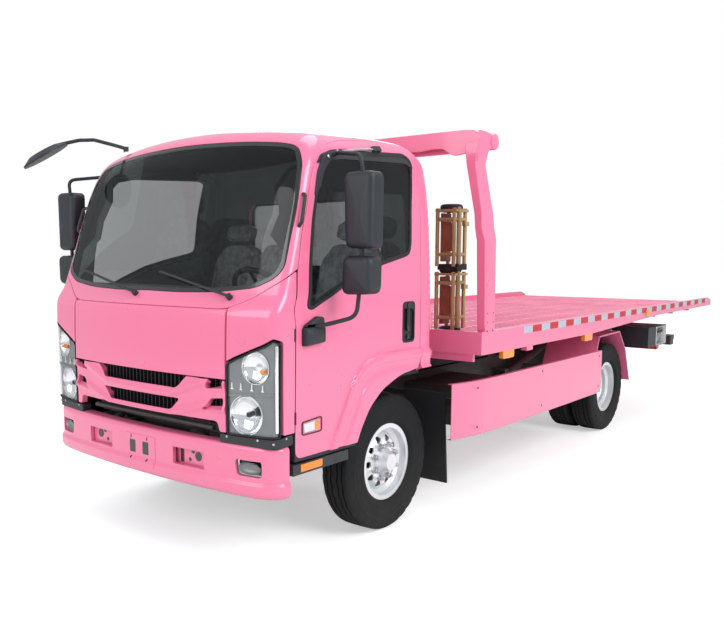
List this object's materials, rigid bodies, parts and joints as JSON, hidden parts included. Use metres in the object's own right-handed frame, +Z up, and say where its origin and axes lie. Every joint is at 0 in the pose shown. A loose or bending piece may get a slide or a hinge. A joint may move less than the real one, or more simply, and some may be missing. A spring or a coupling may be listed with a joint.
{
  "type": "flatbed tow truck",
  "caption": "Forward-control flatbed tow truck with a tilting and sliding bed, front gantry, winch, rear underlift, tilting cab, opening doors and rolling wheels.",
  "frame": {"origin": "on the ground, at the middle of the truck's overall length and width", "axes": "+Z up, the truck faces -Y, its left side is +X"},
  "size_m": [2.4, 6.8798, 2.296],
  "materials": {
    "pink_paint": "gloss",
    "black_plastic": "matt moulded",
    "rubber": "matt",
    "tyre_rubber": "matt",
    "silver_paint": "silver, semi-gloss",
    "window_glass": "tinted",
    "dark_frame_paint": "black chassis paint",
    "bare_metal": "satin",
    "gold_paint": "gold zinc plated",
    "lamp_glass": "clear lens over bright reflector",
    "amber_lens": "clear amber",
    "seat_fabric": "woven"
  },
  "bodies": {
    "chassis": {"chassis_frame": "dark_frame_paint", "front_axle": "dark_frame_paint", "rear_axle": "dark_frame_paint", "engine_block": "dark_frame_paint", "driveline": "dark_frame_paint", "fuel_tank": "dark_frame_paint", "battery_box": "dark_frame_paint", "exhaust": "bare_metal", "cab_mounts": "dark_frame_paint", "front_bumper": "pink_paint", "bumper_lamps": "lamp_glass", "side_skirts": "pink_paint", "rear_mudguards": "pink_paint", "front_mud_flaps": "rubber", "control_box": "bare_metal", "tail_lamps": "lamp_glass", "bed_hinge_blocks": "dark_frame_paint", "underlift_mounts": "dark_frame_paint"},
    "knuckle_left_body": {"knuckle_left": "dark_frame_paint"},
    "knuckle_right_body": {"knuckle_right": "dark_frame_paint"},
    "wheel_front_left": {"tyre_front_left": "tyre_rubber", "rim_front_left": "silver_paint"},
    "wheel_front_right": {"tyre_front_right": "tyre_rubber", "rim_front_right": "silver_paint"},
    "wheels_rear_left": {"tyres_rear_left": "tyre_rubber", "rims_rear_left": "silver_paint"},
    "wheels_rear_right": {"tyres_rear_right": "tyre_rubber", "rims_rear_right": "silver_paint"},
    "cab": {"cab_shell": "pink_paint", "cab_glass": "window_glass", "grille": "pink_paint", "headlamps": "lamp_glass", "cab_steps": "black_plastic", "wipers": "black_plastic", "corner_mirror": "black_plastic", "seats": "seat_fabric", "dashboard": "black_plastic"},
    "steering_wheel_body": {"steering_wheel": "black_plastic"},
    "lid": {"front_lid": "pink_paint"},
    "left_door": {"door_left": "pink_paint", "door_glass_left": "window_glass", "mirrors_left": "black_plastic"},
    "right_door": {"door_right": "pink_paint", "door_glass_right": "window_glass", "mirrors_right": "black_plastic"},
    "tilting_frame": {"tilt_frame": "dark_frame_paint"},
    "cylinder_barrels": {"tilt_barrels": "dark_frame_paint"},
    "cylinder_rods": {"tilt_rods": "bare_metal"},
    "bed": {"bed_deck": "pink_paint", "bed_rails": "pink_paint", "bed_gantry": "pink_paint", "marker_lamps": "amber_lens", "winch": "dark_frame_paint", "dolly_frames": "gold_paint", "dolly_wheels": "rubber"},
    "lift_boom": {"underlift_boom": "dark_frame_paint"},
    "lift_slide": {"underlift_slide": "dark_frame_paint"}
  },
  "joints": [
    {"name": "steer_left", "type": "hinge", "parent": "chassis", "child": "knuckle_left_body", "pos_m": [0.712, -2.36, 0.3875], "axis": [0, 0, 1], "range_deg": [-35, 35]},
    {"name": "roll_front_left", "type": "hinge", "parent": "knuckle_left_body", "child": "wheel_front_left", "pos_m": [0.785, -2.36, 0.3875], "axis": [1, 0, 0], "continuous": true},
    {"name": "roll_rear_left", "type": "hinge", "parent": "chassis", "child": "wheels_rear_left", "pos_m": [0.682, 1, 0.3875], "axis": [1, 0, 0], "continuous": true},
    {"name": "steer_right", "type": "hinge", "parent": "chassis", "child": "knuckle_right_body", "pos_m": [-0.712, -2.36, 0.3875], "axis": [0, 0, 1], "range_deg": [-35, 35]},
    {"name": "roll_front_right", "type": "hinge", "parent": "knuckle_right_body", "child": "wheel_front_right", "pos_m": [-0.785, -2.36, 0.3875], "axis": [1, 0, 0], "continuous": true},
    {"name": "roll_rear_right", "type": "hinge", "parent": "chassis", "child": "wheels_rear_right", "pos_m": [-0.682, 1, 0.3875], "axis": [1, 0, 0], "continuous": true},
    {"name": "cab_tilt", "type": "hinge", "parent": "chassis", "child": "cab", "pos_m": [0, -3.37, 0.62], "axis": [1, 0, 0], "range_deg": [0, 45]},
    {"name": "steering_wheel_turn", "type": "hinge", "parent": "cab", "child": "steering_wheel_body", "pos_m": [0.47, -2.926, 1.326], "axis": [0, 0.7593, 0.6508], "range_deg": [-560, 560]},
    {"name": "front_lid_open", "type": "hinge", "parent": "cab", "child": "lid", "pos_m": [0, -3.42, 1.302], "axis": [-1, 0, 0], "range_deg": [0, 60]},
    {"name": "door_left_open", "type": "hinge", "parent": "cab", "child": "left_door", "pos_m": [0.922, -3.208, 1.2], "axis": [0, 0, -1], "range_deg": [0, 70]},
    {"name": "door_right_open", "type": "hinge", "parent": "cab", "child": "right_door", "pos_m": [-0.922, -3.208, 1.2], "axis": [0, 0, 1], "range_deg": [0, 70]},
    {"name": "bed_tilt", "type": "hinge", "parent": "chassis", "child": "tilting_frame", "pos_m": [0, 2.274, 0.82], "axis": [-1, 0, 0], "range_deg": [0, 13]},
    {"name": "bed_slide", "type": "slide", "parent": "tilting_frame", "child": "bed", "axis": [0, 1, 0], "range_m": [0, 3]},
    {"name": "cylinder_swing", "type": "hinge", "parent": "chassis", "child": "cylinder_barrels", "pos_m": [0, -0.16, 0.56], "axis": [1, 0, 0], "range_deg": [0, 15.25]},
    {"name": "cylinder_stroke", "type": "slide", "parent": "cylinder_barrels", "child": "cylinder_rods", "axis": [0, 0.9678, 0.2516], "range_m": [0, 0.1445]},
    {"name": "lift_tilt", "type": "hinge", "parent": "chassis", "child": "lift_boom", "pos_m": [0, 1.59, 0.5], "axis": [-1, 0, 0], "range_deg": [0, 12]},
    {"name": "lift_extend", "type": "slide", "parent": "lift_boom", "child": "lift_slide", "axis": [0, 1, 0], "range_m": [0, 0.8]}
  ],
  "couplings": [
    {"joint": "steer_right", "follows": "steer_left", "ratio": 1},
    {"joint": "steering_wheel_turn", "follows": "steer_left", "ratio": 16},
    {"joint": "cylinder_swing", "follows": "bed_tilt", "ratio": 1.1693},
    {"joint": "cylinder_stroke", "follows": "bed_tilt", "m_per_rad": 0.63246}
  ]
}
